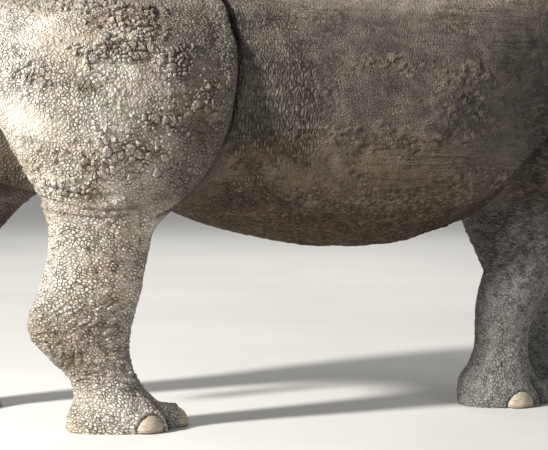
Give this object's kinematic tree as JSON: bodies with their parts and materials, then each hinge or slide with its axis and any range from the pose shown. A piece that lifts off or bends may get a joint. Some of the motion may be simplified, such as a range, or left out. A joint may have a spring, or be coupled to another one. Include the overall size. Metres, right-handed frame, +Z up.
{
  "type": "white rhinoceros",
  "caption": "Life-size still model of a white rhinoceros cow walking with lowered head, horns curving up and back, standing on flat soles.",
  "frame": {"origin": "middle of the bounding box, on the ground under the soles", "axes": "+X forward, the way the animal faces; +Y its left; +Z up"},
  "size_m": [3.8978, 1.0798, 1.7142],
  "materials": {
    "hide": "rough wrinkled hide with dried mud",
    "horn": "worn fibrous horn",
    "nail": "dull, scuffed",
    "eye": "wet gloss"
  },
  "bodies": {
    "root": {"trunk": "hide", "neck": "hide", "head": "hide", "lower_jaw": "hide", "tail": "hide", "ear_right": "hide", "ear_left": "hide", "eye_right": "eye", "eye_left": "eye", "horn_front": "horn", "horn_rear": "horn", "leg_hind_right_upper": "hide", "leg_hind_right_lower": "hide", "foot_hind_right": "hide", "nail_hind_right_0": "nail", "nail_hind_right_1": "nail", "nail_hind_right_2": "nail", "leg_hind_left_upper": "hide", "leg_hind_left_lower": "hide", "foot_hind_left": "hide", "nail_hind_left_0": "nail", "nail_hind_left_1": "nail", "nail_hind_left_2": "nail", "leg_fore_right_upper": "hide", "leg_fore_right_lower": "hide", "foot_fore_right": "hide", "nail_fore_right_0": "nail", "nail_fore_right_1": "nail", "nail_fore_right_2": "nail", "leg_fore_left_upper": "hide", "leg_fore_left_lower": "hide", "foot_fore_left": "hide", "nail_fore_left_0": "nail", "nail_fore_left_1": "nail", "nail_fore_left_2": "nail"}
  },
  "joints": []
}
